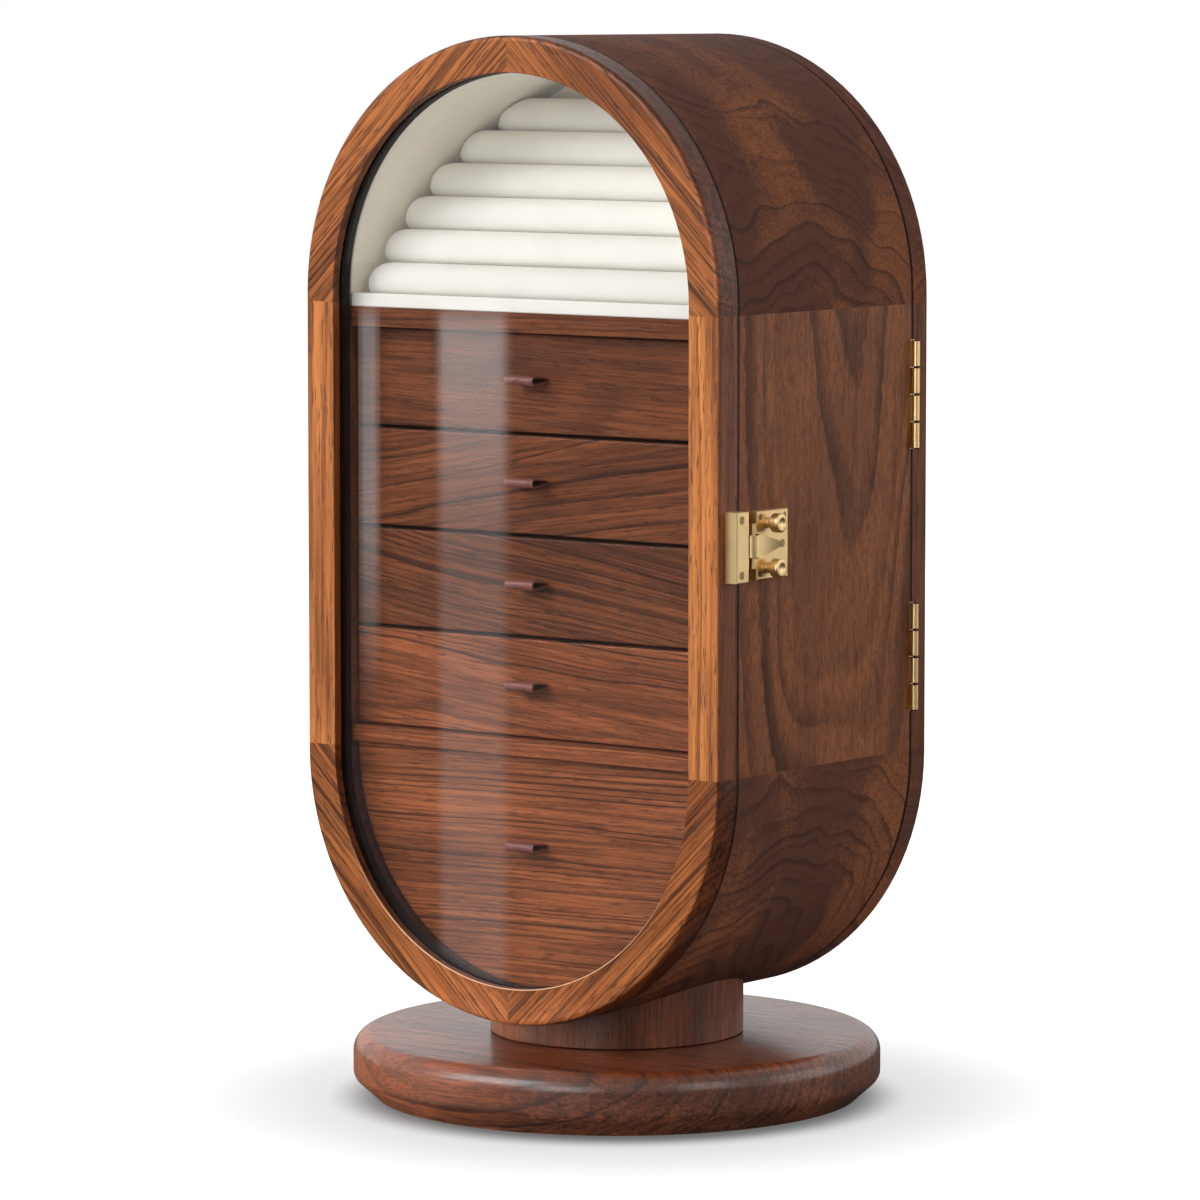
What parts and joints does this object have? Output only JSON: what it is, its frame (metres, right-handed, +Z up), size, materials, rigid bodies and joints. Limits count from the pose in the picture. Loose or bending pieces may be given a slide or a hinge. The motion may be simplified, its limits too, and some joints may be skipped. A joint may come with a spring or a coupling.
{
  "type": "rotating jewelry cabinet",
  "caption": "Tall round-ended jewelry cabinet with a glazed door, drawers and padded ring rolls, turning on a round base.",
  "frame": {"origin": "centre of the base's underside", "axes": "+Z up, the glazed front faces -Y, +X to its right"},
  "size_m": [0.2599, 0.25, 0.5015],
  "materials": {
    "walnut_frame": "satin oiled",
    "walnut_side": "satin oiled",
    "walnut_arch": "satin oiled",
    "walnut_drawer": "satin oiled",
    "walnut_base": "satin oiled",
    "walnut_panel": "satin oiled",
    "box_wood": "matt",
    "brass": "satin",
    "steel": "satin",
    "glass": "clear polished",
    "rubber": "matt",
    "velvet": "short pile",
    "leather": "matt",
    "felt": "felted"
  },
  "bodies": {
    "base": {"base_disc": "walnut_base", "base_felt_pad": "felt", "bearing_lower_race": "steel", "bearing_balls": "steel", "base_screws": "steel", "pivot_bolt": "steel"},
    "cabinet": {"bearing_upper_race": "steel", "neck": "walnut_base", "top_arch": "walnut_arch", "bottom_arch": "walnut_arch", "left_side": "walnut_side", "right_side": "walnut_side", "upper_shelf": "walnut_drawer", "lower_shelf": "walnut_drawer", "partition": "box_wood", "arch_lining": "velvet", "ring_tray": "velvet", "ring_rolls": "velvet", "drawer_runners": "box_wood", "body_hinge_leaves": "brass", "hinge_pins": "brass", "latch_plate": "brass", "latch_springs": "steel", "rear_magnets": "steel", "necklace_hooks": "brass", "cabinet_screws": "brass"},
    "front_door": {"front_left_stile": "walnut_frame", "front_right_stile": "walnut_frame", "front_top_left_arc": "walnut_frame", "front_top_right_arc": "walnut_frame", "front_bottom_left_arc": "walnut_frame", "front_bottom_right_arc": "walnut_frame", "front_glass": "glass", "front_gasket": "rubber", "front_hinge_leaves": "brass", "latch_keeper": "brass", "front_door_screws": "brass"},
    "rear_door": {"rear_stiles": "walnut_side", "rear_arcs": "walnut_arch", "rear_panel": "walnut_panel", "rear_hinge_leaves": "brass", "rear_door_screws": "brass"},
    "latch_lever": {"latch_lever": "brass"},
    "latch_button_upper": {"latch_button_upper": "brass"},
    "latch_button_lower": {"latch_button_lower": "brass"},
    "drawer_1": {"drawer_1_front": "walnut_drawer", "drawer_1_box": "box_wood", "drawer_1_pull": "leather"},
    "drawer_2": {"drawer_2_front": "walnut_drawer", "drawer_2_box": "box_wood", "drawer_2_pull": "leather"},
    "drawer_3": {"drawer_3_front": "walnut_drawer", "drawer_3_box": "box_wood", "drawer_3_pull": "leather"},
    "drawer_4": {"drawer_4_front": "walnut_drawer", "drawer_4_box": "box_wood", "drawer_4_pull": "leather"},
    "drawer_5": {"drawer_5_front": "walnut_drawer", "drawer_5_box": "box_wood", "drawer_5_pull": "leather"}
  },
  "joints": [
    {"name": "turntable", "type": "hinge", "parent": "base", "child": "cabinet", "pos_m": [0, 0, 0.0318], "axis": [0, 0, 1], "continuous": true},
    {"name": "front_door_swing", "type": "hinge", "parent": "cabinet", "child": "front_door", "pos_m": [-0.1232, -0.06835, 0.273], "axis": [0, 0, -1], "range_deg": [0, 175]},
    {"name": "rear_door_swing", "type": "hinge", "parent": "cabinet", "child": "rear_door", "pos_m": [0.1232, 0.06835, 0.273], "axis": [0, 0, -1], "range_deg": [0, 175]},
    {"name": "latch_lever_lift", "type": "hinge", "parent": "cabinet", "child": "latch_lever", "pos_m": [0.1256, -0.0631, 0.273], "axis": [0, 0, -1], "range_deg": [0, 30]},
    {"name": "latch_button_upper_press", "type": "slide", "parent": "cabinet", "child": "latch_button_upper", "axis": [-1, 0, 0], "range_m": [0, 0.0015], "stiffness_N_per_m": 300, "springref_m": -0.001},
    {"name": "latch_button_lower_press", "type": "slide", "parent": "cabinet", "child": "latch_button_lower", "axis": [-1, 0, 0], "range_m": [0, 0.0015], "stiffness_N_per_m": 300, "springref_m": -0.001},
    {"name": "drawer_1_slide", "type": "slide", "parent": "cabinet", "child": "drawer_1", "axis": [0, -1, 0], "range_m": [0, 0.054]},
    {"name": "drawer_2_slide", "type": "slide", "parent": "cabinet", "child": "drawer_2", "axis": [0, -1, 0], "range_m": [0, 0.054]},
    {"name": "drawer_3_slide", "type": "slide", "parent": "cabinet", "child": "drawer_3", "axis": [0, -1, 0], "range_m": [0, 0.054]},
    {"name": "drawer_4_slide", "type": "slide", "parent": "cabinet", "child": "drawer_4", "axis": [0, -1, 0], "range_m": [0, 0.054]},
    {"name": "drawer_5_slide", "type": "slide", "parent": "cabinet", "child": "drawer_5", "axis": [0, -1, 0], "range_m": [0, 0.054]}
  ],
  "couplings": [
    {"joint": "drawer_1_slide", "follows": "front_door_swing", "m_per_rad": 0.01767},
    {"joint": "drawer_2_slide", "follows": "front_door_swing", "m_per_rad": 0.01767},
    {"joint": "drawer_3_slide", "follows": "front_door_swing", "m_per_rad": 0.01767},
    {"joint": "drawer_4_slide", "follows": "front_door_swing", "m_per_rad": 0.01767},
    {"joint": "drawer_5_slide", "follows": "front_door_swing", "m_per_rad": 0.01767}
  ]
}
